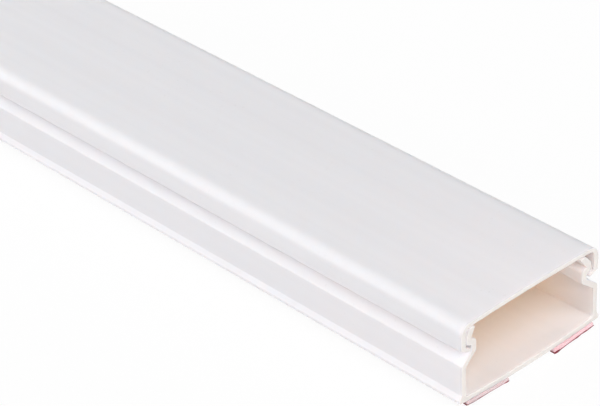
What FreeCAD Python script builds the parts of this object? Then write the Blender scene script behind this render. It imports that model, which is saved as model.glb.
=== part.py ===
"""Snap-cover cable raceway, 40 x 20 mm, cut to a 400 mm length.

The raceway is two rigid PVC extrusions. The base is a tray whose side walls end in a sloping
shoulder, a groove and a latch strip that leans in over the channel. The cover is a slightly crowned
cap, and the lip at the foot of each of its legs sits in the groove below the barb of the latch
strip. The floor of the base is slightly bowed, so that its middle hangs lower than its feet. Two strips
of foam tape run along its underside, each under its release film, and the raceway rests on the inner
edges of the films.

X runs across the raceway, Y along it and Z up. The origin is on the ground that the release films rest
on, at the middle of the footprint. Sizes are in millimetres and degrees. A side of the section is drawn
by how far each corner lies in from the wall's outer face, and how high above the lowest point of the
base.
"""
import FreeCAD, Part
import os
from types import SimpleNamespace
import Sketcher

SIZES = [
    ("stock_length", 400.0, "length of the base, the cover and the tape"),
    ("base_width", 40.0, "across the side walls of the base"),
    ("side_wall", 1.2, "side walls and shoulders of the base"),
    ("floor_plate", 1.2, "floor of the base"),
    ("floor_bow", 0.85, "how much higher the feet are than the middle of the floor"),
    ("foot_flare", 0.65, "how far the foot stands out from the wall"),
    ("foot_rise", 2.75, "height at which the foot runs into the wall"),
    ("foot_edge", 0.7, "upright edge of the foot"),
    ("shoulder_height", 9.6, "height at which the wall turns in"),
    ("shoulder_rise", 2.6, "from there up to the groove"),
    ("left_groove", 2.75, "left groove, in from the wall's outer face"),
    ("right_groove", 3.35, "right groove, whose latch strip is sprung further in"),
    ("latch_wall", 1.4, "latch strips, from the groove to the rim"),
    ("left_barb", 1.4, "left barb, in from the wall's outer face"),
    ("right_barb", 2.1, "right barb, in from the wall's outer face"),
    ("barb_hook", 0.5, "how far the barb's tip stands above its root"),
    ("waist_land", 0.3, "upright stretch of the strip inside, level with the barb"),
    ("strip_rise", 3.7, "from the barb's tip up to the rim"),
    ("left_lean", 24.0, "lean of the left latch strip from upright"),
    ("right_lean", 40.0, "lean of the right latch strip from upright"),
    ("rim_gap", 0.25, "between the rim of the latch strips and the cover"),
    ("cover_overhang", 0.1, "how far the cover stands out from each wall"),
    ("cover_wall", 0.95, "top of the cover"),
    ("cover_crown", 0.4, "how much higher the cover is at its middle"),
    ("leg_wall", 1.3, "legs of the cover"),
    ("lip_wall", 0.75, "upright thickness of the lip"),
    ("lip_drop", 1.0, "how far the lip's tip hangs below the leg"),
    ("lip_clearance", 0.2, "between the lip's tip and the left groove"),
    ("lip_gap", 0.1, "between the lip's tip and the foot of the groove"),
    ("latch_play", 0.65, "between the lip and the barb above it"),
    ("corner_round", 2.5, "outer rounding of the cover's long edges"),
    ("corner_hollow", 1.2, "inner rounding of the cover's long edges"),
    ("leg_round", 0.6, "rounding of the lower corner of the legs"),
    ("lip_round", 0.2, "rounding of the lip"),
    ("shoulder_round", 0.5, "rounding where the wall turns in"),
    ("bulge_round", 1.0, "rounding of the latch strip inside the channel"),
    ("hollow_round", 0.35, "rounding of the base's hollow corners"),
    ("rim_round", 0.3, "rounding of the rim and the barb"),
    ("foot_round", 0.3, "rounding of the foot"),
    ("tape_width", 12.0, "strips of foam tape"),
    ("tape_thickness", 0.75, "strips of foam tape, at their long edges"),
    ("tape_inset", 1.35, "tapes, in from the wall's outer face"),
    ("film_thickness", 0.1, "release films"),
    ("film_margin", 0.1, "how far the film stands out from its tape, each side"),
]
size = SimpleNamespace(**{name: f"Sizes.{name}" for name, value, meaning in SIZES})
MATCH = 1e-3


def make_sheet(doc):
    """The table of driving sizes, one row each: name, value, meaning."""
    sheet = doc.addObject("Spreadsheet::Sheet", "Sizes")
    for row, (name, value, meaning) in enumerate(SIZES, start=1):
        sheet.set(f"A{row}", name)
        sheet.set(f"B{row}", str(value))
        sheet.setAlias(f"B{row}", name)
        sheet.set(f"C{row}", meaning)
    doc.recompute()


def corner(inward, height, rounding=None):
    """A corner of one side of a section, and the size that rounds it."""
    return SimpleNamespace(inward=inward, height=height, rounding=rounding)


def bow_radius():
    """Radius of the bowed underside: an arc from foot to foot that hangs by the bow in the middle."""
    half = f"({size.base_width} / 2 + {size.foot_flare})"
    return f"({half}^2 + {size.floor_bow}^2) / (2 * {size.floor_bow})"


def bow_height(inward):
    """Height of the bowed underside above its lowest point, at a distance in from the wall's face."""
    across = f"({size.base_width} / 2 - ({inward}))"
    return f"({bow_radius()} - sqrt(({bow_radius()})^2 - {across}^2))"


def tape_line(inward):
    """Height of the straight line across the underside from one edge of a tape to the other."""
    outer, inner = size.tape_inset, f"{size.tape_inset} + {size.tape_width}"
    slope = f"({bow_height(outer)} - {bow_height(inner)}) / {size.tape_width}"
    return f"({bow_height(outer)} - {slope} * ({inward} - {outer}))"


def lift():
    """Height of the lowest point of the base, which the tapes and their films hold off the ground."""
    inner = f"({size.tape_inset} + {size.tape_width} + {size.film_margin})"
    return f"({size.film_thickness} + {size.tape_thickness} - {tape_line(inner)})"


def placed(side, corners):
    """One side's corners in the sketch: their distance from the middle plane and their height."""
    return [SimpleNamespace(side=side, rounding=c.rounding,
                            across=f"{size.base_width} / 2 - ({c.inward})",
                            up=f"{lift()} + {c.height}") for c in corners]


def latch_heights():
    """Heights that the base and the cover share, from the shoulder up to the rim."""
    groove_low = f"{size.shoulder_height} + {size.shoulder_rise}"
    lip_low = f"{groove_low} + {size.lip_gap}"
    barb_root = f"{lip_low} + {size.lip_wall} + {size.latch_play}"
    barb_tip = f"{barb_root} + {size.barb_hook}"
    rim = f"{barb_tip} + {size.strip_rise}"
    return SimpleNamespace(groove_low=groove_low, lip_low=lip_low, barb_root=barb_root,
                           barb_tip=barb_tip, rim=rim)


def base_side(groove, barb, lean):
    """Outer corners from the foot up and inner corners from the rim down, on one side of the base."""
    level = latch_heights()
    slope = f"atan({size.shoulder_rise} / {groove})"
    hook = f"atan({size.barb_hook} / ({groove} - {barb}))"
    hook_turn = f"{size.latch_wall} * tan(45 deg - {hook} / 2)"
    lean_turn = f"{size.latch_wall} * tan({lean} / 2)"
    lean_start = f"{level.barb_tip} + {hook_turn} + {lean_turn} + {size.waist_land}"
    rim_outer = f"{barb} + ({level.rim} - ({lean_start})) * tan({lean})"
    rim_inner = f"{rim_outer} + {size.latch_wall} / cos({lean})"
    under = f"{size.shoulder_height} - {size.side_wall} / cos({slope})"
    bulge = f"{groove} + {size.latch_wall}"
    outer = [
        corner(f"-{size.foot_flare}", size.floor_bow, size.foot_round),
        corner(f"-{size.foot_flare}", f"{size.floor_bow} + {size.foot_edge}", size.foot_round),
        corner("0", size.foot_rise, size.hollow_round),
        corner("0", size.shoulder_height, size.shoulder_round),
        corner(groove, level.groove_low, size.hollow_round),
        corner(groove, level.barb_root, size.hollow_round),
        corner(barb, level.barb_tip, size.rim_round),
        corner(barb, lean_start, size.rim_round),
        corner(rim_outer, level.rim, size.rim_round),
    ]
    inner = [
        corner(rim_inner, level.rim, size.rim_round),
        corner(f"{barb} + {size.latch_wall}", f"{level.barb_tip} + {hook_turn} + {size.waist_land}"),
        corner(f"{barb} + {size.latch_wall}", f"{level.barb_tip} + {hook_turn}"),
        corner(bulge, f"{level.barb_root} + {hook_turn}", size.bulge_round),
        corner(bulge, f"{under} + ({bulge}) * tan({slope})", size.bulge_round),
        corner(size.side_wall, f"{under} + {size.side_wall} * tan({slope})", size.hollow_round),
        corner(size.side_wall, f"{bow_height(size.side_wall)} + {size.floor_plate}", size.hollow_round),
    ]
    return outer + inner


def cover_side():
    """Corners of one side of the cover, from its top edge round the lip to its underside."""
    level = latch_heights()
    edge = f"{level.rim} + {size.rim_gap} + {size.cover_wall}"
    leg_low = f"{level.lip_low} + {size.lip_drop}"
    leg_inside = f"{size.leg_wall} - {size.cover_overhang}"
    lip_tip = f"{size.left_groove} - {size.lip_clearance}"
    fall = f"{size.lip_drop} * {size.leg_wall} / ({lip_tip} + {size.cover_overhang})"
    return [
        corner(f"-{size.cover_overhang}", edge, size.corner_round),
        corner(f"-{size.cover_overhang}", leg_low, size.leg_round),
        corner(lip_tip, level.lip_low, size.lip_round),
        corner(lip_tip, f"{level.lip_low} + {size.lip_wall}", size.lip_round),
        corner(leg_inside, f"{leg_low} + {size.lip_wall} - {fall}", size.lip_round),
        corner(leg_inside, f"{level.rim} + {size.rim_gap}", size.corner_hollow),
    ]


def crown_radius(across):
    """Radius of an arc that rises by the crown over a chord of twice the given half width."""
    return f"(({across})^2 + {size.cover_crown}^2) / (2 * {size.cover_crown})"


def tape_side(margin, depth, thickness):
    """Corners of a strip that lies so deep under the underside, and is so much wider than the tape."""
    outer = f"({size.tape_inset} - {margin})"
    inner = f"({size.tape_inset} + {size.tape_width} + {margin})"
    return [
        corner(outer, f"{tape_line(outer)} - {depth} - {thickness}"),
        corner(outer, f"{tape_line(outer)} - {depth}"),
        corner(inner, f"{tape_line(inner)} - {depth}"),
        corner(inner, f"{tape_line(inner)} - {depth} - {thickness}"),
    ]


def bend(radius, hollow):
    """An arc about a point of the middle plane, above the arc if it is hollow and else below it."""
    return SimpleNamespace(radius=radius, hollow=hollow)


def arc_between(start, end, radius, hollow):
    """Arc of a sketch from end to end in the turning sense that sketches keep, and its first end."""
    down = -1 if hollow else 1
    centre_height = start.y - down * (radius ** 2 - start.x ** 2) ** 0.5
    half_way = (start.x + end.x) / 2
    middle = FreeCAD.Vector(half_way, centre_height + down * (radius ** 2 - half_way ** 2) ** 0.5, 0)
    first, last = sorted((start, end), key=lambda p: -down * p.x)
    return Part.Arc(first, middle, last), first


def draw_section(body, corners, bends):
    """Closed sketch across the raceway. Stretches whose first corner has a bend are arcs."""
    plane = next(p for p in body.Origin.OriginFeatures if p.Role == "XZ_Plane")
    sketch = body.newObject("Sketcher::SketchObject", body.Label + "_section")
    sketch.AttachmentSupport = (plane, "")
    sketch.MapMode = "FlatFace"
    points = []
    for c in corners:
        c.x = c.side * sketch.evalExpression(c.across)
        c.z = sketch.evalExpression(c.up)
        points.append(FreeCAD.Vector(c.x, c.z, 0))
    ends = []
    for index, start in enumerate(points):
        end = points[(index + 1) % len(points)]
        if index in bends:
            radius = sketch.evalExpression(bends[index].radius)
            arc, first = arc_between(start, end, radius, bends[index].hollow)
            sketch.addGeometry(arc)
            ends.append((1, 2) if first is start else (2, 1))
        else:
            sketch.addGeometry(Part.LineSegment(start, end))
            ends.append((1, 2))
    for index, c in enumerate(corners):
        before = (index - 1) % len(corners)
        here = (index, ends[index][0])
        sketch.addConstraint(Sketcher.Constraint("Coincident", before, ends[before][1], *here))
        pair = (-1, 1, *here) if c.side > 0 else (*here, -1, 1)
        across = sketch.addConstraint(Sketcher.Constraint("DistanceX", *pair, abs(c.x)))
        sketch.setExpression(f"Constraints[{across}]", c.across)
        up = sketch.addConstraint(Sketcher.Constraint("DistanceY", -1, 1, *here, c.z))
        sketch.setExpression(f"Constraints[{up}]", c.up)
    for index, given in bends.items():
        radius = sketch.addConstraint(Sketcher.Constraint("Radius", index, sketch.Geometry[index].Radius))
        sketch.setExpression(f"Constraints[{radius}]", given.radius)
    return sketch


def long_edge(shape, c):
    """Name of the edge that runs along the raceway through a corner of its section."""
    for number, edge in enumerate(shape.Edges, start=1):
        ends = [vertex.Point for vertex in edge.Vertexes]
        if all(abs(p.x - c.x) < MATCH and abs(p.z - c.z) < MATCH for p in ends):
            return f"Edge{number}"
    raise RuntimeError(f"no edge at the corner {c.across}, {c.up}")


def extrusion(doc, label, corners, bends):
    """Body made by padding a section both ways from the middle, then rounding its long edges."""
    body = doc.addObject("PartDesign::Body", label)
    pad = body.newObject("PartDesign::Pad", label + "_stock")
    pad.Profile = draw_section(body, corners, bends)
    pad.SideType = "Symmetric"
    pad.setExpression("Length", size.stock_length)
    doc.recompute()
    tip = pad
    for rounding in dict.fromkeys(c.rounding for c in corners if c.rounding):
        names = [long_edge(tip.Shape, c) for c in corners if c.rounding == rounding]
        fillet = body.newObject("PartDesign::Fillet", label + "_" + rounding.split(".")[1])
        fillet.Base = (tip, names)
        fillet.setExpression("Radius", rounding)
        doc.recompute()
        tip = fillet
    body.Tip = tip
    return body


def make_base(doc):
    """Tray with a foot, a shoulder and a latch strip along each side, and a bowed floor between them."""
    right = placed(1, base_side(size.right_groove, size.right_barb, size.right_lean))
    left = placed(-1, base_side(size.left_groove, size.left_barb, size.left_lean))
    corners = right + left[::-1]
    bowed = bend(bow_radius(), hollow=True)
    inside, underside = len(right) - 1, len(corners) - 1
    return extrusion(doc, "base_channel", corners, {inside: bowed, underside: bowed})


def make_cover(doc):
    """Crowned cap with a leg and a lip along each side."""
    right = placed(1, cover_side())
    left = placed(-1, cover_side())
    corners = right + left[::-1]
    bends = {index: bend(crown_radius(corners[index].across), hollow=False)
             for index in (len(right) - 1, len(corners) - 1)}
    return extrusion(doc, "snap_cover", corners, bends)


def make_tapes(doc):
    """Foam tape and release film along each side of the underside. The foam's top is bowed as the base."""
    strips = []
    for name, side in (("left", -1), ("right", 1)):
        foam = placed(side, tape_side("0", "0", size.tape_thickness))
        strips.append(extrusion(doc, f"foam_tape_{name}", foam, {1: bend(bow_radius(), hollow=True)}))
        film = placed(side, tape_side(size.film_margin, size.tape_thickness, size.film_thickness))
        strips.append(extrusion(doc, f"release_film_{name}", film, {}))
    return strips


def check(doc, pieces):
    """Stops on a failed object or a solid that isn't sound."""
    for thing in doc.Objects:
        if "Invalid" in thing.State or "Error" in thing.State:
            raise RuntimeError(f"{thing.Label} failed: {thing.State}")
    for piece in pieces:
        if piece.Shape.isNull() or not piece.Shape.isValid() or len(piece.Shape.Solids) != 1:
            raise RuntimeError(f"{piece.Label} isn't one sound solid")


def main():
    doc = FreeCAD.newDocument("raceway")
    make_sheet(doc)
    pieces = [make_base(doc), make_cover(doc), *make_tapes(doc)]
    doc.recompute()
    check(doc, pieces)
    os.makedirs("parts", exist_ok=True)
    for piece in pieces:
        piece.Shape.exportStep(f"parts/{piece.Label}.step")
        box = piece.Shape.BoundBox
        print(f"{piece.Label}: {piece.Shape.Volume / 1000:.2f} cm3, x {box.XMin:.2f} to {box.XMax:.2f}, "
              f"y {box.YMin:.1f} to {box.YMax:.1f}, z {box.ZMin:.2f} to {box.ZMax:.2f}")


main()
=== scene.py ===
"""Looks of a snap-cover cable raceway, 40 x 20 mm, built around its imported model.

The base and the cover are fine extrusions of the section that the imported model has, with rounded
corners, sawn ends and the finish of white PVC that lets a little light through. Under the base lie two
strips of pink foam tape, each on its crimson release film.

Lengths are in metres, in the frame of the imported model: X across the raceway, Y along it, Z up.
A side of the section is given by how far each corner lies in from the wall's outer face, and how high
above the lowest point of the base, whose floor is slightly bowed.
"""
import math
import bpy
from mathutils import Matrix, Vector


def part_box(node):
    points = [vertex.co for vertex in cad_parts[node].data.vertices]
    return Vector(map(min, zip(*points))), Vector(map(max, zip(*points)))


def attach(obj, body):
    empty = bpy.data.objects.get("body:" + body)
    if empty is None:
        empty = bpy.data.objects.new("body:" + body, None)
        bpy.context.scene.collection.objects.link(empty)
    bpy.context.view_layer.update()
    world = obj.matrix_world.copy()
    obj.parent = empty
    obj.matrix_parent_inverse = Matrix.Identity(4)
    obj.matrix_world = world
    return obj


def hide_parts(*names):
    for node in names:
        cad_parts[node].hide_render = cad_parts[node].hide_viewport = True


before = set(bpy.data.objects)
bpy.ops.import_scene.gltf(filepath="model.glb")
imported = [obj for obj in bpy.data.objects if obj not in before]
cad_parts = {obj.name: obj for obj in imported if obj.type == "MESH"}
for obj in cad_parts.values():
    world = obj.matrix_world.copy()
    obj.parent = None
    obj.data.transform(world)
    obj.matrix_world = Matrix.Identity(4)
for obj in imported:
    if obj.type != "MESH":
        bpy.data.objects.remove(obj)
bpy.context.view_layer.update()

from types import SimpleNamespace

import bpy
import numpy as np
from bpy.props import FloatProperty, FloatVectorProperty, IntProperty, PointerProperty
from mathutils import Matrix

bl_info = {
    "name": "Cable Raceway",
    "version": (1, 0, 0),
    "blender": (4, 5, 0),
    "location": "View3D > Sidebar > Raceway",
    "description": "Builds a snap-cover cable raceway with its tape, its release film and a studio",
    "category": "Add Mesh",
}

MM = 0.001
BASE_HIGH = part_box("base_channel")[1]
COVER_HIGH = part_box("snap_cover")[1]
# Heights that differ by less than this count as the same.
HAIR = 1e-6 * MM
# Distances from a cut end of the first sections along a piece, and of the even ones between.
CLOSE_RINGS = (0.5 * MM, 1.5 * MM, 4 * MM)
EVEN_RINGS = 8 * MM
# Sines that make up a wander: how fast each turns along its way, its share and its turn for each seed.
WAVES = ((61, 1.0, 1.0), (149, 0.6, 2.3), (367, 0.4, 4.1))
# Ragged line of a sawn edge: how fast its sine turns round the outline, and the drift of that turn.
BURR_TURN = 5200
DRIFT_TURN = 1900
DRIFT = 1.7
# How far in from a cut end the edges are rubbed and get painted shade, and how far the painted daylight
# and painted warm light inside reach.
RUB_REACH = 0.5 * MM
DAY_REACH = 24 * MM
WARM_REACH = 85 * MM
# How much of the painted warm light inside is lost where daylight falls in, and beyond the reach of the
# warm light.
DAY_LOSS = 0.82
DEEP_LOSS = 0.78
# Wear of a sharp edge, and the largest radius that still counts as sharp.
WEAR = 0.6
SHARP = 0.5 * MM
# Sideways share of a normal from which an outer face counts as upright and gets painted shade, and the
# step to fully upright.
UPRIGHT_FROM = 0.88
UPRIGHT_STEP = 0.1
# Downward share of a normal from which a face fully looks down, and how much painted shade such faces
# get.
DOWN_FULL = 2 / 3
PAINTED_DOWN_SHADE = 0.7
# Fineness of the die lines on each extrusion.
BASE_LINES = 2300.0
COVER_LINES = 2600.0
# Tints that multiply the colour of the plastic, one of them painted shade for cut edges and faces that
# look down, and the colour of the dust on it.
STREAK_TINT = (0.93, 0.925, 0.93)
RUB_TINT = (0.86, 0.84, 0.82)
PAINTED_EDGE_SHADE = (0.75, 0.74, 0.74)
SAW_TINT = (0.96, 0.95, 0.93)
PVC_DUST = (0.42, 0.40, 0.38)
# The same for the foam: its cell walls, its smudges and its dust.
CELL_TINT = (0.86, 0.80, 0.80)
SMUDGE_TINT = (0.95, 0.84, 0.85)
FOAM_DUST = (0.35, 0.30, 0.30)
# The same for the film, and the pale colour of its rubbed edges.
FILM_STREAK = (0.82, 0.7, 0.75)
FILM_PALE = (0.75, 0.25, 0.32)
FILM_DUST = (0.55, 0.42, 0.42)
# How far in a hand-cut end pulls on its strip, how much finer it wavers than a long edge, and its seed.
CUT_REACH = 6 * MM
CUT_FINENESS = 6
CUT_SEED = 5
# Bulge of the left tape's cut end: middle and half width, as shares of the way from middle to edge.
BULGE_PLACE = -0.65
BULGE_HALF = 0.25
# Where the film sticks out past the cut: middle and half width in such shares, and reach in millimetres.
FILM_TABS = {"left": [(0.88, 0.09, 0.30), (-0.96, 0.07, 0.15)],
             "right": [(-0.88, 0.16, 0.45), (-0.05, 0.05, 0.15), (0.15, 0.09, 0.28), (0.58, 0.14, 0.2)]}
# Reach of a tab that curls fully, and how far in from the cut the film flares.
CURLED_TAB = 0.3 * MM
FLARE_REACH = 2.5 * MM
# Powers of the way out by which a strip's swelling and the wander of its long edges die away.
SWELL_FADE = 8
FOAM_FADE = 4
FILM_FADE = 6
# How far along a strip its two sides read the wander, one ahead of their own place and one behind it.
FOAM_APART = 110 * MM
FILM_APART = 70 * MM
# Half the side of the studio's floor, in metres, and plain white.
FLOOR_HALF = 6.0
WHITE = (1.0, 1.0, 1.0, 1.0)


def linear(red, green, blue):
    """Scene-linear values of a colour given as 0 to 255 display values."""
    shown = np.array([red, green, blue]) / 255
    return tuple(np.where(shown > 0.04045, ((shown + 0.055) / 1.055) ** 2.4, shown / 12.92))


def length(name, description, default):
    """A length property; its default is in metres."""
    return FloatProperty(name=name, description=description, default=default, unit="LENGTH",
                         subtype="DISTANCE", precision=5)


def angle(name, description, degrees):
    """An angle property; its default is given in degrees."""
    return FloatProperty(name=name, description=description, default=math.radians(degrees),
                         unit="ROTATION", subtype="ANGLE")


def count(name, description, default, least):
    """A whole number, with the least one that the shapes allow."""
    return IntProperty(name=name, description=description, default=default, min=least)


def strength(name, description, default):
    """Strength of a lamp, or of the light all round."""
    return FloatProperty(name=name, description=description, default=default, min=0)


def share(name, description, default):
    """A property from 0 to 1."""
    return FloatProperty(name=name, description=description, default=default, min=0, max=1,
                         subtype="FACTOR")


def colour(name, description, red, green, blue):
    """A colour property; its default is given as 0 to 255 display values."""
    return FloatVectorProperty(name=name, description=description, default=linear(red, green, blue),
                               size=3, min=0, max=1, subtype="COLOR")


class RacewaySection(bpy.types.PropertyGroup):
    """Sizes of the extruded section, which both rigid pieces share."""
    floor_bow: length("Floor bow", "How much higher the feet are than the floor's middle", 0.85 * MM)
    foot_flare: length("Foot flare", "How far the foot stands out from the wall", 0.65 * MM)
    foot_rise: length("Foot rise", "Height at which the foot runs into the wall", 2.75 * MM)
    foot_edge: length("Foot edge", "Upright edge of the foot", 0.7 * MM)
    side_wall: length("Side wall", "Side walls and shoulders of the base", 1.2 * MM)
    floor_plate: length("Floor", "Floor of the base", 1.2 * MM)
    shoulder_height: length("Shoulder height", "Height at which the wall turns in", 9.6 * MM)
    shoulder_rise: length("Shoulder rise", "From there up to the groove", 2.6 * MM)
    left_groove: length("Left groove", "Left groove, in from the wall's outer face", 2.75 * MM)
    right_groove: length("Right groove", "Right groove, in from the wall's outer face", 3.35 * MM)
    latch_wall: length("Latch wall", "Latch strips, from the groove to the rim", 1.4 * MM)
    left_barb: length("Left barb", "Left barb, in from the wall's outer face", 1.4 * MM)
    right_barb: length("Right barb", "Right barb, in from the wall's outer face", 2.1 * MM)
    barb_hook: length("Barb hook", "How far the barb's tip stands above its root", 0.5 * MM)
    waist_land: length("Waist land", "Upright stretch inside, level with the barb", 0.3 * MM)
    strip_rise: length("Strip rise", "From the barb's tip up to the rim", 3.7 * MM)
    left_lean: angle("Left lean", "Lean of the left latch strip from upright", 24)
    right_lean: angle("Right lean", "Lean of the right latch strip from upright", 40)
    rim_gap: length("Rim gap", "Between the rim of the latch strips and the cover", 0.25 * MM)
    cover_wall: length("Cover wall", "Top of the cover", 0.95 * MM)
    cover_crown: length("Cover crown", "How much higher the cover is at its middle", 0.4 * MM)
    leg_wall: length("Leg wall", "Legs of the cover", 1.3 * MM)
    lip_wall: length("Lip wall", "Upright thickness of the lip", 0.75 * MM)
    lip_drop: length("Lip drop", "How far the lip's tip hangs below the leg", 1.0 * MM)
    lip_clearance: length("Lip clearance", "Between the lip's tip and the groove", 0.2 * MM)
    lip_gap: length("Lip gap", "Between the lip's tip and the foot of the groove", 0.1 * MM)
    latch_play: length("Latch play", "Between the lip and the barb above it", 0.65 * MM)
    corner_round: length("Corner round", "Outer rounding of the cover's long edges", 2.5 * MM)
    corner_hollow: length("Corner hollow", "Inner rounding of the cover's long edges", 1.2 * MM)
    leg_round: length("Leg round", "Rounding of the lower corner of the legs", 0.6 * MM)
    lip_round: length("Lip round", "Rounding of the lip", 0.2 * MM)
    shoulder_round: length("Shoulder round", "Rounding where the wall turns in", 0.5 * MM)
    bulge_round: length("Bulge round", "Rounding of the latch strip inside the channel", 1.0 * MM)
    waist_round: length("Waist round", "Rounding inside, where the strip starts to lean", 0.25 * MM)
    hollow_round: length("Hollow round", "Rounding of the base's hollow corners", 0.35 * MM)
    rim_round: length("Rim round", "Rounding of the rim and the barb", 0.3 * MM)
    foot_round: length("Foot round", "Rounding of the foot", 0.3 * MM)
    end_bevel: length("End bevel", "Edge that the saw leaves round a cut end", 0.07 * MM)
    end_burr: length("End burr", "How ragged that edge is", 0.025 * MM)
    arc_steps: count("Arc steps", "Faces round each rounded corner", 6, 2)
    run_steps: count("Run steps", "Points along each straight run of the base's section", 9, 1)
    rings: count("Rings", "Even sections along the base and the cover", 36, 4)


class RacewayTape(bpy.types.PropertyGroup):
    """Sizes of the foam tape and its release film."""
    width: length("Width", "Strips of foam tape", 12.0 * MM)
    thickness: length("Thickness", "Strips of foam tape, at their long edges", 0.75 * MM)
    inset: length("Inset", "Tapes, in from the wall's outer face", 1.35 * MM)
    film_thickness: length("Film thickness", "Release films", 0.1 * MM)
    film_margin: length("Film margin", "How far the film stands out from its tape, each side", 0.1 * MM)
    side_bulge: length("Side bulge", "How far the foam's pressed sides swell", 0.08 * MM)
    edge_waver: length("Edge waver", "How far the long edges wander", 0.1 * MM)
    foam_round: length("Foam round", "Rounding of the foam's long edges", 0.12 * MM)
    left_stick: length("Left stick", "How far the left tape sticks out past the cut end", 0.17 * MM)
    left_bulge: length("Left bulge", "How much further it does so near its outer corner", 0.25 * MM)
    right_stick: length("Right stick", "How far the middle of the right tape sticks out", 0.39 * MM)
    right_slant: length("Right slant", "How much less far its outer corner does so", 0.08 * MM)
    cut_waver: length("Cut waver", "How uneven the cut ends are", 0.06 * MM)
    film_curl: length("Film curl", "How far the free tabs of the film lift", 0.15 * MM)
    film_flare: length("Film flare", "How much wider each side of the film is at its cut ends", 0.12 * MM)
    left_short: length("Left short", "How far the left film stops short of its foam", 0.06 * MM)
    right_over: length("Right over", "How far the right film sticks out past its foam", 0.05 * MM)


class RacewayFinish(bpy.types.PropertyGroup):
    """Colours and finish of the plastic, the foam and the film, some of them painted light and shade."""
    outside: colour("Outside", "PVC on the outer faces", 238, 236, 239)
    # The side shade is painted shade that darkens the upright outer faces.
    painted_side_shade: share("Side shade", "How bright the upright outer faces are beside the rest", 0.93)
    # Inside and under cover are painted warm light: peach tints that stand in for light the translucent
    # walls pass on.
    inside: colour("Inside", "PVC inside the channel, in the warm light of its walls", 255, 227, 200)
    under_cover_warm_light: colour("Under cover", "PVC on the hidden side of the cover", 255, 218, 186)
    # The sawn colour is partly the cut's own matt tone and partly painted shade, darker because the ends
    # face the front lamp.
    sawn: colour("Sawn end", "PVC on the sawn ends", 206, 202, 199)
    gloss: share("Roughness", "Roughness of the extruded faces", 0.4)
    base_glow: share("Base translucence", "How much light the base takes in and passes on", 0.6)
    cover_glow: share("Cover translucence", "How much light the cover takes in and passes on", 0.5)
    foam: colour("Foam", "Foam of the right tape", 232, 195, 200)
    # The left tape's foam is the same foam with painted shade.
    painted_shade_foam: colour("Dull foam", "Foam of the left tape, which is greyer", 205, 186, 188)
    film: colour("Film", "Release film", 118, 10, 34)


class RacewayStudio(bpy.types.PropertyGroup):
    """Camera, lamps and floor."""
    lens: FloatProperty(name="Lens", description="Focal length in millimetres", default=166.359)
    azimuth: angle("Azimuth", "Heading of the camera round the raceway", -42.3648)
    elevation: angle("Elevation", "Height of the camera above the horizon", 32.9092)
    roll: angle("Roll", "Turn of the picture about its own middle", -2.3892)
    camera_x: length("Camera X", "Place of the camera across the raceway", -336.425 * MM)
    camera_y: length("Camera Y", "Place of the camera along the raceway", -502.086 * MM)
    camera_z: length("Camera Z", "Height of the camera", 332.744 * MM)
    ambient: strength("Ambient", "Strength of the even light all round", 0.02)
    key: strength("Key", "Strength of the low lamp at the near left corner", 1.3)
    key_azimuth: angle("Key azimuth", "Heading of the key lamp round the raceway", -28)
    key_elevation: angle("Key elevation", "Height of the key lamp above the horizon", 22)
    key_spread: angle("Key spread", "Angle that the key lamp spans, which softens its shadows", 60)
    front: strength("Front", "Strength of the wide lamp before the near end", 2.6)
    front_azimuth: angle("Front azimuth", "Heading of the front lamp round the raceway", 0)
    front_elevation: angle("Front elevation", "Height of the front lamp above the horizon", 39)
    side: strength("Side", "Strength of the wide lamp on the left, towards the far end", 1.2)
    side_azimuth: angle("Side azimuth", "Heading of the side lamp round the raceway", -120)
    side_elevation: angle("Side elevation", "Height of the side lamp above the horizon", 33)
    wide_spread: angle("Wide spread", "Angle that the front and the side lamp span", 70)
    paper: colour("Floor", "Paper of the floor", 250, 250, 250)
    whiteness: share("Whiteness", "How far the background is lifted to plain white", 0.93)


def section_levels(s):
    """Heights that the base and the cover share, from the foot of the groove up to the rim."""
    groove_low = s.shoulder_height + s.shoulder_rise
    lip_low = groove_low + s.lip_gap
    barb_root = lip_low + s.lip_wall + s.latch_play
    barb_tip = barb_root + s.barb_hook
    return SimpleNamespace(groove_low=groove_low, lip_low=lip_low, barb_root=barb_root, barb_tip=barb_tip,
                           rim=barb_tip + s.strip_rise)


def half_base(s):
    """Half the width across the side walls of the base."""
    return BASE_HIGH.x - s.foot_flare


def bow_height(s, across):
    """Height of the bowed underside above its lowest point: R - sqrt(R squared - x squared)."""
    half = BASE_HIGH.x
    radius = (half ** 2 + s.floor_bow ** 2) / (2 * s.floor_bow)
    return radius - np.sqrt(radius ** 2 - across ** 2)


def base_low(s):
    """Height of the lowest point of the base, reckoned down from its rim."""
    return BASE_HIGH.z - section_levels(s).rim


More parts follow.
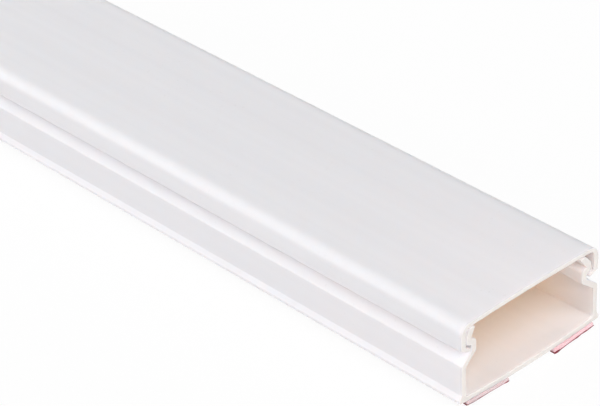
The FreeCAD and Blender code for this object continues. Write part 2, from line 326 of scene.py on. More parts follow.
def base_side(s, groove, barb, lean):
    """One side of the base, outer corners from the foot up and then inner corners from the rim down.

    Each row holds the way in from the wall, the height, the rounding and how far inside the channel the
    corner lies, from 0 to 1. The inner corners lie one wall thickness away from the outer ones: at the
    hook and where the strip starts to lean, that is the thickness times the tangent of half the turn.
    """
    level = section_levels(s)
    slope = math.atan2(s.shoulder_rise, groove)
    hook = math.atan2(s.barb_hook, groove - barb)
    hook_turn = s.latch_wall * math.tan(math.pi / 4 - hook / 2)
    lean_turn = s.latch_wall * math.tan(lean / 2)
    lean_start = level.barb_tip + hook_turn + lean_turn + s.waist_land
    rim_outer = barb + (level.rim - lean_start) * math.tan(lean)
    rim_inner = rim_outer + s.latch_wall / math.cos(lean)
    under = s.shoulder_height - s.side_wall / math.cos(slope)
    bulge = groove + s.latch_wall
    waist = barb + s.latch_wall
    waist_low = level.barb_tip + hook_turn
    floor_top = bow_height(s, half_base(s) - s.side_wall) + s.floor_plate
    return np.array([
        (-s.foot_flare, s.floor_bow, s.foot_round, 0),
        (-s.foot_flare, s.floor_bow + s.foot_edge, s.foot_round, 0),
        (0, s.foot_rise, s.hollow_round, 0),
        (0, s.shoulder_height, s.shoulder_round, 0),
        (groove, level.groove_low, s.hollow_round, 0),
        (groove, level.barb_root, s.hollow_round, 0.3),
        (barb, level.barb_tip, s.rim_round, 0.3),
        (barb, lean_start, s.rim_round, 0.5),
        (rim_outer, level.rim, s.rim_round, 0.6),
        (rim_inner, level.rim, s.rim_round, 1),
        (waist, waist_low + s.waist_land, s.waist_round, 1),
        (waist, waist_low, s.waist_round / 2, 1),
        (bulge, level.barb_root + hook_turn, s.bulge_round, 1),
        (bulge, under + bulge * math.tan(slope), s.bulge_round, 1),
        (s.side_wall, under + s.side_wall * math.tan(slope), s.hollow_round, 1),
        (s.side_wall, floor_top, s.hollow_round, 1),
    ])


def cover_side(s, overhang):
    """One side of the cover, from its top edge down and round the lip, in rows like those of the base."""
    level = section_levels(s)
    lid_low = level.rim + s.rim_gap
    leg_low = level.lip_low + s.lip_drop
    leg_inside = s.leg_wall - overhang
    lip_tip = s.left_groove - s.lip_clearance
    fall = s.lip_drop * s.leg_wall / (lip_tip + overhang)
    return np.array([
        (-overhang, lid_low + s.cover_wall, s.corner_round, 0),
        (-overhang, leg_low, s.leg_round, 0),
        (lip_tip, level.lip_low, s.lip_round, 0.5),
        (lip_tip, level.lip_low + s.lip_wall, s.lip_round, 0.8),
        (leg_inside, leg_low + s.lip_wall - fall, s.lip_round, 1),
        (leg_inside, lid_low, s.corner_hollow, 1),
    ])


def whole_section(right, left, half_width, low):
    """Closed run of corners at their height: up the right side and back down the mirrored left side."""
    corners = np.concatenate([right, left[::-1]])
    side = np.concatenate([np.ones(len(right)), -np.ones(len(left))])
    corners[:, 0] = side * (half_width - corners[:, 0])
    corners[:, 1] += low
    return corners


def bowed(s, points, inside):
    """Lets both faces of the floor hang towards the middle as far as the bow says."""
    inner = half_base(s) - s.side_wall
    inner_top = bow_height(s, inner) + s.floor_plate + s.hollow_round
    edge = np.where(inside > 0.5, inner, BASE_HIGH.x)
    top = np.where(inside > 0.5, inner_top, s.floor_bow + s.foot_round)
    hang = np.clip(bow_height(s, edge) - bow_height(s, points[:, 0]), 0, None)
    hang *= points[:, 1] - base_low(s) <= top + HAIR
    return points - np.stack([np.zeros(len(points)), hang], 1)


def unit(vectors):
    """Vectors scaled to length one."""
    return vectors / np.linalg.norm(vectors, axis=-1, keepdims=True)


def rounded_outline(corners, arc_steps, run_steps):
    """Outline with every corner rounded: its points, outward normals, how far inside and how worn.

    A corner gives way to an arc that starts and ends at radius / tan(half the angle between its edges)
    from it, about a centre at radius / sin(that half angle) on their bisector. A point of the arc is the
    centre plus the two end radii, weighted by sin((1 - t) turn) and sin(t turn) over sin(turn). Between
    arcs the points lie closer together near both ends of a run. The outline turns left, so a corner
    whose edges turn left stands out and its normals point away from the centre. The tighter such a
    corner is, the more it is worn.
    """
    spot, radius, inside = corners[:, :2], corners[:, 2], corners[:, 3]
    before = unit(np.roll(spot, 1, 0) - spot)
    after = unit(np.roll(spot, -1, 0) - spot)
    half = np.arccos(np.clip(np.sum(before * after, 1), -1, 1)) / 2
    reach = (radius / np.tan(half))[:, None]
    start = spot + before * reach
    end = spot + after * reach
    centre = spot + unit(before + after) * (radius / np.sin(half))[:, None]
    turn = (math.pi - 2 * half)[:, None]
    t = np.linspace(0, 1, arc_steps + 1)[None, :]
    first = (np.sin((1 - t) * turn) / np.sin(turn))[..., None]
    second = (np.sin(t * turn) / np.sin(turn))[..., None]
    middle = centre[:, None, :]
    arcs = middle + first * (start[:, None, :] - middle) + second * (end[:, None, :] - middle)
    step = np.arange(1, run_steps + 1) / (run_steps + 1)
    along = ((1 - np.cos(math.pi * step)) / 2)[None, :]
    runs = end[:, None, :] + along[..., None] * (np.roll(start, -1, 0) - end)[:, None, :]
    points = np.concatenate([arcs, runs], axis=1).reshape(-1, 2)
    standing = before[:, 0] * after[:, 1] - before[:, 1] * after[:, 0] < 0
    arc_normals = unit(arcs - middle) * np.where(standing, 1, -1)[:, None, None]
    run_normals = np.repeat(np.stack([after[:, 1], -after[:, 0]], 1)[:, None, :], run_steps, 1)
    normal = np.concatenate([arc_normals, run_normals], axis=1).reshape(-1, 2)
    within = inside[:, None] + along * (np.roll(inside, -1) - inside)[:, None]
    within = np.concatenate([np.repeat(inside[:, None], arc_steps + 1, 1), within], axis=1).ravel()
    tight = np.clip(SHARP / radius, 0, 1) * standing
    worn = np.concatenate([np.repeat(tight[:, None], arc_steps + 1, 1),
                           np.zeros((len(corners), run_steps))], axis=1).ravel()
    return points, normal, within, worn


def waver(along, size, seed):
    """A slow wander of the given size: half the sum of three sines of unlike wavelengths."""
    return size / 2 * sum(part * np.sin(pace * along + turn * seed) for pace, part, turn in WAVES)


def ring_places(half_length, bevel, steps):
    """Places of the sections along Y: close together at the two ends, even between."""
    near = np.array([0, bevel, *CLOSE_RINGS])
    even = half_length - EVEN_RINGS
    return np.concatenate([near - half_length, np.linspace(-even, even, steps), half_length - near[::-1]])


def end_share(y, half_length, reach):
    """1 at the two ends, falling smoothly to 0 within reach."""
    t = np.clip(1 - (half_length - np.abs(y)) / reach, 0, 1)
    return t * t * (3 - 2 * t)


def write_attribute(mesh, name, domain, values):
    """Stores one number for each point or face of a mesh."""
    layer = mesh.attributes.new(name, "FLOAT", domain)
    layer.data.foreach_set("value", np.asarray(values, np.float32).ravel())


def mark_points(mesh, outline, y, under):
    """Stores for the materials how warm, worn, shaded and upright each point is.

    The warm colour inside the channel is painted warm light, standing in for light that the walls pass
    on;
    it is weak at a cut end, where daylight falls in, and again far in. Cut edges are worn and get painted
    shade. The share under says how much painted shade the outer faces that look down get.
    """
    normal, inside, worn = outline[1:]
    at_end = end_share(y, y[-1], RUB_REACH)[:, None]
    daylight = end_share(y, y[-1], DAY_REACH)[:, None]
    far_in = 1 - end_share(y, y[-1], WARM_REACH)[:, None]
    looks_down = np.clip(-normal[:, 1] / DOWN_FULL, 0, 1) * (1 - inside)
    upright = np.clip((np.abs(normal[:, 0]) - UPRIGHT_FROM) / UPRIGHT_STEP, 0, 1) * (1 - inside)
    # The warm colour is painted warm light, weaker where daylight falls in at a cut end and far from the
    # ends.
    warm = inside[None, :] * (1 - DAY_LOSS * daylight - DEEP_LOSS * far_in)
    write_attribute(mesh, "inside", "POINT", warm)
    write_attribute(mesh, "worn", "POINT", WEAR * np.maximum(at_end, worn[None, :]))
    write_attribute(mesh, "edge", "POINT", np.maximum(at_end, under * looks_down[None, :]))
    # Upright outer faces get painted shade in the materials.
    write_attribute(mesh, "upright", "POINT", np.repeat(upright[None, :], len(y), 0))


def extruded_mesh(name, outline, y, bevel, ragged=0.0, under=0.0):
    """Mesh of an outline carried along Y and closed by flat ends, and the grid of its points.

    The grid has one row for each place along Y and one column for each point of the outline. In the two
    end rows the outline is drawn in by the bevel along its normals, plus a small ragged part: a sine of
    the way round, whose turn drifts.
    """
    points, normal = outline[:2]
    rows, columns = len(y), len(points)
    ends = np.zeros(rows)
    ends[[0, -1]] = 1
    travel = np.cumsum(np.linalg.norm(points - np.roll(points, 1, 0), axis=1))
    burr = ragged * np.sin(BURR_TURN * travel + DRIFT * np.sin(DRIFT_TURN * travel))
    inset = ends[:, None] * (bevel + burr[None, :])
    grid = np.empty((rows, columns, 3))
    grid[..., 0] = points[None, :, 0] - normal[None, :, 0] * inset
    grid[..., 1] = y[:, None]
    grid[..., 2] = points[None, :, 1] - normal[None, :, 1] * inset
    index = np.arange(rows * columns).reshape(rows, columns)
    step = np.roll(index, -1, 1)
    quads = np.stack([index[:-1], index[1:], step[1:], step[:-1]], -1).reshape(-1, 4)
    caps = [index[0].tolist(), index[-1][::-1].tolist()]
    mesh = bpy.data.meshes.new(name)
    mesh.from_pydata(grid.reshape(-1, 3), [], quads.tolist() + caps)
    smooth = np.ones(len(mesh.polygons), bool)
    smooth[-2:] = False
    mesh.polygons.foreach_set("use_smooth", smooth)
    mark_points(mesh, outline, y, under)
    write_attribute(mesh, "sawn", "FACE", ~smooth)
    return mesh, grid


def add_piece(name, mesh, material, body, nodes):
    """Puts a finished mesh in the scene, on its body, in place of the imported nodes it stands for."""
    if not len(mesh.polygons):
        raise RuntimeError(f"{name} has no faces")
    mesh.materials.append(material)
    piece = bpy.data.objects.new(name, mesh)
    bpy.context.scene.collection.objects.link(piece)
    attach(piece, body)
    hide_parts(*nodes)
    return piece


def place(tree, kind, inputs=None, **settings):
    """Adds a node, applies its settings, sets its plain inputs and links those given as sockets."""
    made = tree.nodes.new(kind)
    for name, value in settings.items():
        setattr(made, name, value)
    for name, value in (inputs or {}).items():
        if isinstance(value, bpy.types.NodeSocket):
            tree.links.new(value, made.inputs[name])
        else:
            made.inputs[name].default_value = value
    return made


def combine(tree, operation, first, second):
    """Result of a Math node."""
    return place(tree, "ShaderNodeMath", {0: first, 1: second}, operation=operation).outputs[0]


def remap(tree, value, low, high, to_low=0.0, to_high=1.0):
    """Result of a Map Range node that keeps within its ends."""
    ends = {"Value": value, "From Min": low, "From Max": high, "To Min": to_low, "To Max": to_high}
    return place(tree, "ShaderNodeMapRange", ends).outputs[0]


def mix_colour(tree, factor, first, second, mode="MIX"):
    """Result of a colour Mix node."""
    inputs = {0: factor, 6: first, 7: second}
    return place(tree, "ShaderNodeMix", inputs, data_type="RGBA", blend_type=mode).outputs[2]


def tinted(tree, factor, first, tint):
    """A colour multiplied by a tint, as far as the factor says."""
    return mix_colour(tree, factor, first, rgba(tint), "MULTIPLY")


def object_point(tree):
    """Object coordinates."""
    return place(tree, "ShaderNodeTexCoord").outputs["Object"]


def mapped(tree, point, **inputs):
    """A point turned or scaled along each axis."""
    return place(tree, "ShaderNodeMapping", {"Vector": point, **inputs}).outputs[0]


def noise(tree, point, scale, detail=2.0, roughness=0.5):
    """Factor of a Noise texture."""
    inputs = {"Vector": point, "Scale": scale, "Detail": detail, "Roughness": roughness}
    return place(tree, "ShaderNodeTexNoise", inputs).outputs[0]


def new_group(name, inputs, outputs):
    """Empty shader node group with named number inputs and outputs, and its two end nodes."""
    group = bpy.data.node_groups.new(name, "ShaderNodeTree")
    for socket, default in inputs.items():
        made = group.interface.new_socket(socket, in_out="INPUT", socket_type="NodeSocketFloat")
        made.default_value = default
    for socket in outputs:
        group.interface.new_socket(socket, in_out="OUTPUT", socket_type="NodeSocketFloat")
    return group, place(group, "NodeGroupInput").outputs, place(group, "NodeGroupOutput").inputs


def make_die_lines():
    """Faint lines that the die leaves along an extrusion: noise drawn out along Y, fine and broad."""
    group, given, result = new_group("Die lines", {"Density": 2400.0, "Run": 9.0}, ["Height", "Streak"])
    sizes = {0: given["Density"], 1: given["Run"], 2: given["Density"]}
    scale = place(group, "ShaderNodeCombineXYZ", sizes).outputs[0]
    drawn = mapped(group, object_point(group), Scale=scale)
    fine = noise(group, drawn, 1.0, 3.0, 0.6)
    broad = noise(group, drawn, 0.13, 2.0, 0.5)
    height = combine(group, "ADD", combine(group, "MULTIPLY", fine, 0.4), broad)
    group.links.new(height, result["Height"])
    group.links.new(broad, result["Streak"])
    return group


def make_sawn_grain():
    """Grain of a sawn end: strokes of the teeth across it, and chips."""
    group, given, result = new_group("Sawn grain", {"Strokes": 3200.0, "Chips": 1500.0},
                                     ["Height", "Shade"])
    across = combine(group, "MULTIPLY", given["Strokes"], 0.12)
    scale = place(group, "ShaderNodeCombineXYZ", {0: across, 1: 0.0, 2: given["Strokes"]}).outputs[0]
    point = object_point(group)
    drawn = mapped(group, mapped(group, point, Rotation=(0.0, 0.5, 0.0)), Scale=scale)
    strokes = noise(group, drawn, 1.0, 2.0, 0.6)
    chips = noise(group, point, given["Chips"], 4.0, 0.7)
    height = combine(group, "ADD", strokes, combine(group, "MULTIPLY", chips, 0.8))
    group.links.new(height, result["Height"])
    group.links.new(chips, result["Shade"])
    return group


def make_handling_marks():
    """Marks of handling: slow smudges that change the gloss, and specks of dust."""
    group, given, result = new_group("Handling marks", {"Smudges": 34.0, "Specks": 1300.0, "Dust": 0.6},
                                     ["Smudge", "Dust"])
    point = object_point(group)
    smudge = noise(group, point, given["Smudges"], 4.0, 0.55)
    specks = noise(group, point, given["Specks"], 1.0, 0.4)
    patches = remap(group, smudge, 0.42, 0.62)
    dust = combine(group, "MULTIPLY", remap(group, specks, 0.70, 0.78), patches)
    group.links.new(remap(group, smudge, 0.3, 0.7), result["Smudge"])
    group.links.new(combine(group, "MULTIPLY", dust, given["Dust"]), result["Dust"])
    return group


def make_edge_wear():
    """Wear that a worn edge shows, broken up along its length."""
    group, given, result = new_group("Edge wear", {"Worn": 0.0, "Break": 420.0}, ["Wear"])
    patches = remap(group, noise(group, object_point(group), given["Break"], 3.0, 0.6), 0.38, 0.66)
    group.links.new(combine(group, "MULTIPLY", given["Worn"], patches), result["Wear"])
    return group


NODE_GROUPS = {"Die lines": make_die_lines, "Sawn grain": make_sawn_grain,
               "Handling marks": make_handling_marks, "Edge wear": make_edge_wear}


def use_group(tree, name, values):
    """Outputs of a shared node group placed with its own values, built when it is first asked for."""
    group = bpy.data.node_groups.get(name) or NODE_GROUPS[name]()
    return place(tree, "ShaderNodeGroup", values, node_tree=group).outputs


def new_material(name):
    """Material with an empty node tree, its tree and its output's Surface socket."""
    material = bpy.data.materials.new(name)
    material.use_nodes = True
    tree = material.node_tree
    tree.nodes.clear()
    return material, tree, place(tree, "ShaderNodeOutputMaterial").inputs["Surface"]


def attribute(tree, name):
    """One of the piece's own numbers."""
    return place(tree, "ShaderNodeAttribute", attribute_name=name).outputs["Fac"]


def rgba(values):
    """A colour with full alpha."""
    return (*values, 1.0)


def pvc_material(name, finish, inner, glow, line_density):
    """Extruded PVC: satin, with die lines, smudges and dust, grained and matt where sawn, and painted
    light and shade.
    """
    material, tree, surface = new_material(name)
    inside, sawn = attribute(tree, "inside"), attribute(tree, "sawn")
    lines = use_group(tree, "Die lines", {"Density": line_density})
    grain = use_group(tree, "Sawn grain", {})
    marks = use_group(tree, "Handling marks", {"Dust": 0.1})
    wear = use_group(tree, "Edge wear", {"Worn": attribute(tree, "worn")})

    # Upright outer faces get painted shade: the outside colour times the side shade.
    sides = mix_colour(tree, attribute(tree, "upright"), rgba(finish.outside),
                       rgba(np.array(finish.outside) * finish.painted_side_shade))
    # Inside the channel the colour is painted warm light, standing in for light passed on by the walls.
    plain = mix_colour(tree, inside, sides, rgba(inner))
    # The sawn ends take the sawn colour, which is partly painted shade.
    cut = mix_colour(tree, remap(tree, grain["Shade"], 0.35, 0.7), rgba(finish.sawn),
                     rgba(np.array(finish.sawn) * SAW_TINT))
    base = mix_colour(tree, sawn, plain, cut)
    streaked = tinted(tree, remap(tree, lines["Streak"], 0.35, 0.7, 0.0, 0.35), base, STREAK_TINT)
    rubbed = tinted(tree, combine(tree, "MULTIPLY", wear["Wear"], 0.35), streaked, RUB_TINT)
    # Painted shade on outer faces that look down and along the cut edges, though not on the sawn ends
    # themselves.
    with_painted_shade = tinted(tree, combine(tree, "SUBTRACT", attribute(tree, "edge"), sawn), rubbed, PAINTED_EDGE_SHADE)
    dusty = mix_colour(tree, marks["Dust"], with_painted_shade, rgba(PVC_DUST))

    rough = remap(tree, marks["Smudge"], 0.0, 1.0, finish.gloss - 0.05, finish.gloss + 0.09)
    rough = combine(tree, "ADD", rough, combine(tree, "MULTIPLY", sawn, 0.3))
    rough = combine(tree, "ADD", rough, combine(tree, "MULTIPLY", wear["Wear"], 0.15))

    drawn = combine(tree, "MULTIPLY", lines["Height"], 0.16)
    ground = combine(tree, "MULTIPLY", combine(tree, "MULTIPLY", grain["Height"], sawn), 0.8)
    height = combine(tree, "ADD", drawn, ground)
    bump = place(tree, "ShaderNodeBump", {"Height": height, "Strength": 1.0, "Distance": 0.04 * MM})
    shader = place(tree, "ShaderNodeBsdfPrincipled", {
        "Base Color": dusty, "Roughness": rough, "Normal": bump.outputs[0], "IOR": 1.53,
        "Specular IOR Level": 0.3, "Subsurface Weight": glow, "Subsurface Radius": (1.0, 0.84, 0.76),
        "Subsurface Scale": 1.7 * MM})
    tree.links.new(shader.outputs[0], surface)
    return material


def foam_material(finish):
    """Pink foam, with painted shade that makes the left tape greyer: matt and soft, with fine closed
    cells, smudges and dust.
    """
    material, tree, surface = new_material("Tape foam")
    point = mapped(tree, object_point(tree), Scale=(1.0, 0.55, 1.0))
    cells = place(tree, "ShaderNodeTexVoronoi", {"Vector": point, "Scale": 3600.0}).outputs["Distance"]
    marks = use_group(tree, "Handling marks", {"Dust": 0.5, "Smudges": 160.0})
    grain = use_group(tree, "Sawn grain", {"Strokes": 1800.0, "Chips": 2600.0})
    walls = remap(tree, cells, 0.15, 0.65)
    foam = mix_colour(tree, attribute(tree, "painted_left_shade"), rgba(finish.foam), rgba(finish.painted_shade_foam))
    shade = mix_colour(tree, walls, tinted(tree, 1.0, foam, CELL_TINT), foam)
    clouded = tinted(tree, combine(tree, "MULTIPLY", marks["Smudge"], 0.35), shade, SMUDGE_TINT)
    dusty = mix_colour(tree, marks["Dust"], clouded, rgba(FOAM_DUST))
    height = combine(tree, "ADD", walls, combine(tree, "MULTIPLY", grain["Height"], 0.5))
    bump = place(tree, "ShaderNodeBump", {"Height": height, "Strength": 0.8, "Distance": 0.05 * MM})
    shader = place(tree, "ShaderNodeBsdfPrincipled", {
        "Base Color": dusty, "Roughness": 0.85, "Normal": bump.outputs[0],
        "Subsurface Weight": 0.3, "Subsurface Radius": (1.0, 0.5, 0.5), "Subsurface Scale": 1.2 * MM})
    tree.links.new(shader.outputs[0], surface)
    return material


def film_material(finish):
    """Crimson release film: glossy, streaked along its length, rubbed pale at its edges, and dusty."""
    material, tree, surface = new_material("Release film")
    lines = use_group(tree, "Die lines", {"Density": 1400.0, "Run": 30.0})
    marks = use_group(tree, "Handling marks", {"Dust": 0.25, "Smudges": 90.0})
    wear = use_group(tree, "Edge wear", {"Worn": attribute(tree, "worn")})
    shade = mix_colour(tree, remap(tree, lines["Streak"], 0.3, 0.7), rgba(finish.film),
                       rgba(np.array(finish.film) * FILM_STREAK))
    pale = mix_colour(tree, combine(tree, "MULTIPLY", wear["Wear"], 0.25), shade, rgba(FILM_PALE))
    dusty = mix_colour(tree, marks["Dust"], pale, rgba(FILM_DUST))
    rough = remap(tree, marks["Smudge"], 0.0, 1.0, 0.18, 0.34)
    relief = {"Height": lines["Height"], "Strength": 0.7, "Distance": 0.01 * MM}
    bump = place(tree, "ShaderNodeBump", relief)
    shader = place(tree, "ShaderNodeBsdfPrincipled", {
        "Base Color": dusty, "Roughness": rough, "Normal": bump.outputs[0], "IOR": 1.5})
    tree.links.new(shader.outputs[0], surface)
    return material


class RACEWAY_OT_base_channel(bpy.types.Operator):
    """Tray with a foot, a shoulder and a latch strip along each side"""
    bl_idname = "raceway.base_channel"
    bl_label = "Base channel"

    def execute(self, context):
        s, finish = context.scene.raceway_section, context.scene.raceway_finish
        corners = whole_section(base_side(s, s.right_groove, s.right_barb, s.right_lean),
                                base_side(s, s.left_groove, s.left_barb, s.left_lean),
                                half_base(s), base_low(s))
        points, normal, inside, worn = rounded_outline(corners, s.arc_steps, s.run_steps)
        outline = bowed(s, points, inside), normal, inside, worn
        y = ring_places(BASE_HIGH.y, s.end_bevel, s.rings)
        # The base's outer faces that look down get painted shade.
        mesh, _ = extruded_mesh("base_channel_skin", outline, y, s.end_bevel, s.end_burr, PAINTED_DOWN_SHADE)
        material = pvc_material("Base PVC", finish, finish.inside, finish.base_glow, BASE_LINES)
        add_piece("base_channel_skin", mesh, material, "base", ["base_channel"])
        return {"FINISHED"}


class RACEWAY_OT_snap_cover(bpy.types.Operator):
    """Crowned cap with a leg and a lip along each side"""
    bl_idname = "raceway.snap_cover"
    bl_label = "Snap cover"

    def execute(self, context):
        s, finish = context.scene.raceway_section, context.scene.raceway_finish
        side = cover_side(s, COVER_HIGH.x - half_base(s))
        corners = whole_section(side, side, half_base(s), base_low(s))[::-1]
        points, normal, inside, worn = rounded_outline(corners, s.arc_steps, 2 * s.run_steps)
        outline = self.crowned(s, points, corners[:, 1].max()), normal, inside, worn
        y = ring_places(COVER_HIGH.y, s.end_bevel, s.rings)
        mesh, _ = extruded_mesh("snap_cover_skin", outline, y, s.end_bevel, s.end_burr)
        material = pvc_material("Cover PVC", finish, finish.under_cover_warm_light, finish.cover_glow, COVER_LINES)
        add_piece("snap_cover_skin", mesh, material, "cover", ["snap_cover"])
        return {"FINISHED"}

    @staticmethod
    def crowned(s, points, edge):
        """Lifts the cap, and not the legs, by the crown times one minus the squared way out."""
        out = points[:, 0] / COVER_HIGH.x
        legs = s.cover_wall + s.corner_hollow
        cap = np.clip((points[:, 1] - edge + legs) / s.corner_hollow, 0, 1)
        return points + np.stack([np.zeros(len(points)), s.cover_crown * cap * (1 - out ** 2)], 1)


def strip_edges(s, t, side, margin):
    """The two long edges of a tape, or of a film so much wider: their X, and their heights.

    The heights lie on the straight line across the bowed underside between the edges of the foam.
    """
    across = half_base(s) - t.inset - np.array([0, t.width])
    height = bow_height(s, across) + base_low(s)
    outer = across + np.array([margin, -margin])
    height = height + (height[0] - height[1]) / t.width * np.array([margin, -margin])
    return (outer[::-1], height[::-1]) if side == "right" else (-outer, height)


def strip_outline(edges, depth, thickness, rounding, arc_steps, run_steps, bulge=0.0):
    """Outline of a flat strip so deep under the underside, whose long sides swell.

    They swell by the bulge times one minus the squared level, which runs from -1 at the bottom to 1 at
    the top, and times a power of the way out from the middle.
    """
    (left, right), (left_top, right_top) = edges[0], edges[1] - depth
    corners = np.array([(right, right_top - thickness, rounding, 0), (right, right_top, rounding, 0),
                        (left, left_top, rounding, 0), (left, left_top - thickness, rounding, 0)])
    points, normal, inside, worn = rounded_outline(corners, arc_steps, run_steps)
    out = 2 * (points[:, 0] - left) / (right - left) - 1
    top = left_top + (right_top - left_top) * (1 + out) / 2
    level = 1 - 2 * (top - points[:, 1]) / thickness
    points[:, 0] += bulge * np.sign(out) * np.abs(out) ** SWELL_FADE * (1 - level ** 2)
    return points, normal, inside, worn


def way_out(grid, edges):
    """Where each point lies across a strip, from -1 at its left edge to 1 at its right edge."""
    left, right = edges[0]
    return 2 * (grid[..., 0] - left) / (right - left) - 1


def hand_cut(t, grid, y, edges, side):
    """The way out of each point of a strip, how far its cut ends stick out, and a share that is 1 there.

    The right tape is cut at a slant, and the left one has a bulge, a bell curve near its outer corner.
    Both ends waver slightly.
    """
    out = way_out(grid, edges)
    if side == "right":
        stick = t.right_stick - t.right_slant * out
    else:
        stick = t.left_stick + t.left_bulge * np.exp(-((out - BULGE_PLACE) / BULGE_HALF) ** 2)
    stick = stick + waver(CUT_FINENESS * grid[..., 0], t.cut_waver, CUT_SEED)
    return out, stick, end_share(y, y[-1], CUT_REACH)[:, None]


def edge_wander(out, y, size, seed, apart, fade):
    """How far the long edges of a strip wander: a waver times a power of the way out.

    The two sides read the waver at places that lie far apart, so that they differ.
    """
    return waver(y[:, None] + apart * np.sign(out), size, seed) * np.abs(out) ** fade


def move_points(mesh, grid):
    """Writes the changed places of a mesh's points."""
    mesh.vertices.foreach_set("co", grid.astype(np.float32).ravel())
    mesh.update()


class RACEWAY_OT_foam_tapes(bpy.types.Operator):
    """Strip of pink foam tape under each side of the base"""
    bl_idname = "raceway.foam_tapes"
    bl_label = "Foam tapes"

    def execute(self, context):
        s, t = context.scene.raceway_section, context.scene.raceway_tape
        material = foam_material(context.scene.raceway_finish)
        for seed, side in enumerate(("left", "right"), start=1):
            edges = strip_edges(s, t, side, 0)
            outline = strip_outline(edges, 0, t.thickness, t.foam_round, s.arc_steps, 3 * s.run_steps,
                                    t.side_bulge)
            y = ring_places(BASE_HIGH.y, s.end_bevel, 3 * s.rings)
            mesh, grid = extruded_mesh(f"tape_foam_{side}", outline, y, s.end_bevel, s.end_burr)
            out, stick, share_end = hand_cut(t, grid, y, edges, side)
            grid[..., 0] += edge_wander(out, y, t.edge_waver, seed, FOAM_APART, FOAM_FADE)
            grid[..., 1] += share_end * stick * np.sign(y)[:, None]
            move_points(mesh, grid)
            # The left tape gets painted shade in the foam material.
            write_attribute(mesh, "painted_left_shade", "POINT", np.full(len(mesh.vertices), side == "left"))
            add_piece(f"tape_foam_{side}", mesh, material, "base", [f"foam_tape_{side}"])
        return {"FINISHED"}


class RACEWAY_OT_release_films(bpy.types.Operator):
    """Crimson release film under each strip of foam"""
    bl_idname = "raceway.release_films"
    bl_label = "Release films"

    def execute(self, context):
        s, t = context.scene.raceway_section, context.scene.raceway_tape
        material = film_material(context.scene.raceway_finish)
        for seed, side in enumerate(("left", "right"), start=3):
            edges = strip_edges(s, t, side, t.film_margin)
            thin = t.film_thickness / 3
            outline = strip_outline(edges, t.thickness, t.film_thickness, thin, s.arc_steps,
                                    6 * s.run_steps)
            y = ring_places(BASE_HIGH.y, thin / 2, 3 * s.rings)
            mesh, grid = extruded_mesh(f"tape_film_{side}", outline, y, thin / 2)
            out, stick, share_end = hand_cut(t, grid, y, edges, side)
            tabs = self.tab_reach(out, FILM_TABS[side])
            over = t.right_over if side == "right" else -t.left_short
            flare = end_share(y, y[-1], FLARE_REACH)[:, None] * t.film_flare
            grid[..., 0] += edge_wander(out, y, t.edge_waver / 2, seed, FILM_APART, FILM_FADE)
            grid[..., 0] += flare * np.sign(out) * np.abs(out) ** FILM_FADE
            grid[..., 1] += share_end * (stick + over + tabs) * np.sign(y)[:, None]
            grid[..., 2] += share_end * t.film_curl * tabs / CURLED_TAB
            move_points(mesh, grid)
            nodes = [f"release_film_{side}"]
            add_piece(f"tape_film_{side}", mesh, material, "base", nodes)
        return {"FINISHED"}

    @staticmethod
    def tab_reach(out, places):
        """Sum of bell curves, one for each place where the film sticks out past the cut."""
        return sum(reach * MM * np.exp(-((out - middle) / half) ** 2) for middle, half, reach in places)


def background_rays(tree):
    """1 for the rays that show the background: straight from the camera, mirrored or passed through."""
    rays = place(tree, "ShaderNodeLightPath").outputs
    mirrored = combine(tree, "MAXIMUM", rays["Is Glossy Ray"], rays["Is Transmission Ray"])
    return combine(tree, "MAXIMUM", rays["Is Camera Ray"], mirrored)


def floor_material(studio):
    """Pale paper that takes the shadow, lifted towards plain white where it is seen as background."""
    material, tree, surface = new_material("Studio paper")
    fibres = noise(tree, object_point(tree), 900.0, 4.0, 0.6)
    shade = mix_colour(tree, remap(tree, fibres, 0.3, 0.7), rgba(np.array(studio.paper) * 0.985),
                       rgba(studio.paper))
    paper = place(tree, "ShaderNodeBsdfDiffuse", {"Color": shade}).outputs[0]
    white = place(tree, "ShaderNodeEmission", {"Color": WHITE, "Strength": 1.0}).outputs[0]
    lifted = combine(tree, "MULTIPLY", background_rays(tree), studio.whiteness)
    mixed = place(tree, "ShaderNodeMixShader", {0: lifted, 1: paper, 2: white})
    tree.links.new(mixed.outputs[0], surface)
    return material


def light_world(studio):
    """Even white light all round, and plain white where the background shows."""
    world = bpy.data.worlds.new("Studio")
    world.use_nodes = True
    tree = world.node_tree
    tree.nodes.clear()
    even = place(tree, "ShaderNodeBackground", {"Color": WHITE, "Strength": studio.ambient}).outputs[0]
    white = place(tree, "ShaderNodeBackground", {"Color": WHITE, "Strength": 1.0}).outputs[0]
    mixed = place(tree, "ShaderNodeMixShader", {0: background_rays(tree), 1: even, 2: white})
    output = place(tree, "ShaderNodeOutputWorld")
    tree.links.new(mixed.outputs[0], output.inputs["Surface"])
    return world


def heading(azimuth, elevation):
    """Direction from the raceway towards a lamp or camera."""
    return np.array([math.sin(azimuth) * math.cos(elevation), -math.cos(azimuth) * math.cos(elevation),
                     math.sin(elevation)])


def looking_matrix(azimuth, elevation, roll, location):
    """Pose that looks back along a heading: the columns are its right, its up and the heading."""
    back = heading(azimuth, elevation)
    right = unit(np.cross([0, 0, 1], back))
    up = np.cross(back, right)
    c, s = math.cos(roll), math.sin(roll)
    columns = np.stack([c * right + s * up, c * up - s * right, back, location], 1)
    return Matrix(np.concatenate([columns, [[0, 0, 0, 1]]]).tolist())


def add_sun(name, power, azimuth, elevation, spread):
    """Far soft lamp that lights every part of the raceway alike."""
    lamp = bpy.data.lights.new(name, "SUN")
    lamp.energy = power
    lamp.angle = spread
    sun = bpy.data.objects.new(name, lamp)
    sun.matrix_world = looking_matrix(azimuth, elevation, 0.0, heading(azimuth, elevation))
    bpy.context.scene.collection.objects.link(sun)


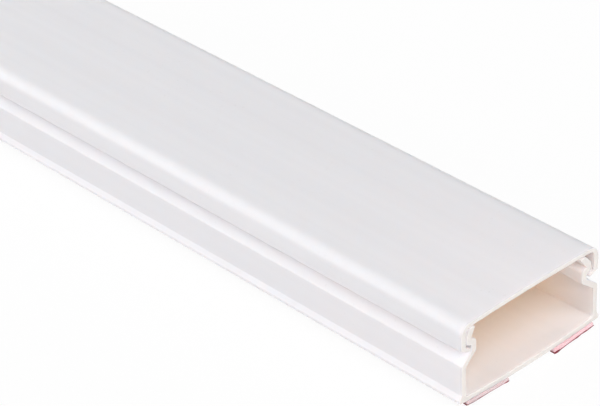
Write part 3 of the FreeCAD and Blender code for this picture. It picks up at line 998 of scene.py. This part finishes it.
class RACEWAY_OT_studio(bpy.types.Operator):
    """Floor, soft lamps, white background and camera"""
    bl_idname = "raceway.studio"
    bl_label = "Studio"

    def execute(self, context):
        scene, studio = context.scene, context.scene.raceway_studio
        half = FLOOR_HALF
        mesh = bpy.data.meshes.new("studio_floor")
        mesh.from_pydata([(-half, -half, 0), (half, -half, 0), (half, half, 0), (-half, half, 0)], [],
                         [(0, 1, 2, 3)])
        mesh.materials.append(floor_material(studio))
        floor = bpy.data.objects.new("studio_floor", mesh)
        scene.collection.objects.link(floor)
        scene.world = light_world(studio)
        add_sun("Key lamp", studio.key, studio.key_azimuth, studio.key_elevation, studio.key_spread)
        wide = studio.wide_spread
        add_sun("Front lamp", studio.front, studio.front_azimuth, studio.front_elevation, wide)
        add_sun("Side lamp", studio.side, studio.side_azimuth, studio.side_elevation, wide)
        lens = bpy.data.cameras.new("Camera")
        lens.lens = studio.lens
        lens.clip_start = 10 * MM
        camera = bpy.data.objects.new("Camera", lens)
        camera.matrix_world = looking_matrix(studio.azimuth, studio.elevation, studio.roll,
                                             (studio.camera_x, studio.camera_y, studio.camera_z))
        scene.collection.objects.link(camera)
        scene.camera = camera
        scene.view_settings.view_transform = "Standard"
        return {"FINISHED"}


class RACEWAY_PT_panel(bpy.types.Panel):
    """Buttons that build the raceway, above its sizes and colours"""
    bl_idname = "RACEWAY_PT_panel"
    bl_label = "Cable Raceway"
    bl_space_type = "VIEW_3D"
    bl_region_type = "UI"
    bl_category = "Raceway"

    def draw(self, context):
        for operator in OPERATORS:
            self.layout.operator(operator.bl_idname)
        for group in (context.scene.raceway_section, context.scene.raceway_tape,
                      context.scene.raceway_finish, context.scene.raceway_studio):
            box = self.layout.box()
            for name in group.__annotations__:
                box.prop(group, name)


GROUPS = {"raceway_section": RacewaySection, "raceway_tape": RacewayTape,
          "raceway_finish": RacewayFinish, "raceway_studio": RacewayStudio}
OPERATORS = [RACEWAY_OT_base_channel, RACEWAY_OT_snap_cover, RACEWAY_OT_foam_tapes,
             RACEWAY_OT_release_films, RACEWAY_OT_studio]
CLASSES = [*GROUPS.values(), *OPERATORS, RACEWAY_PT_panel]


def register():
    for cls in CLASSES:
        bpy.utils.register_class(cls)
    for name, group in GROUPS.items():
        setattr(bpy.types.Scene, name, PointerProperty(type=group))


def unregister():
    for name in GROUPS:
        delattr(bpy.types.Scene, name)
    for cls in reversed(CLASSES):
        bpy.utils.unregister_class(cls)


def main():
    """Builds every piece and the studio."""
    register()
    bpy.ops.raceway.base_channel()
    bpy.ops.raceway.snap_cover()
    bpy.ops.raceway.foam_tapes()
    bpy.ops.raceway.release_films()
    bpy.ops.raceway.studio()


if __name__ == "__main__":
    main()
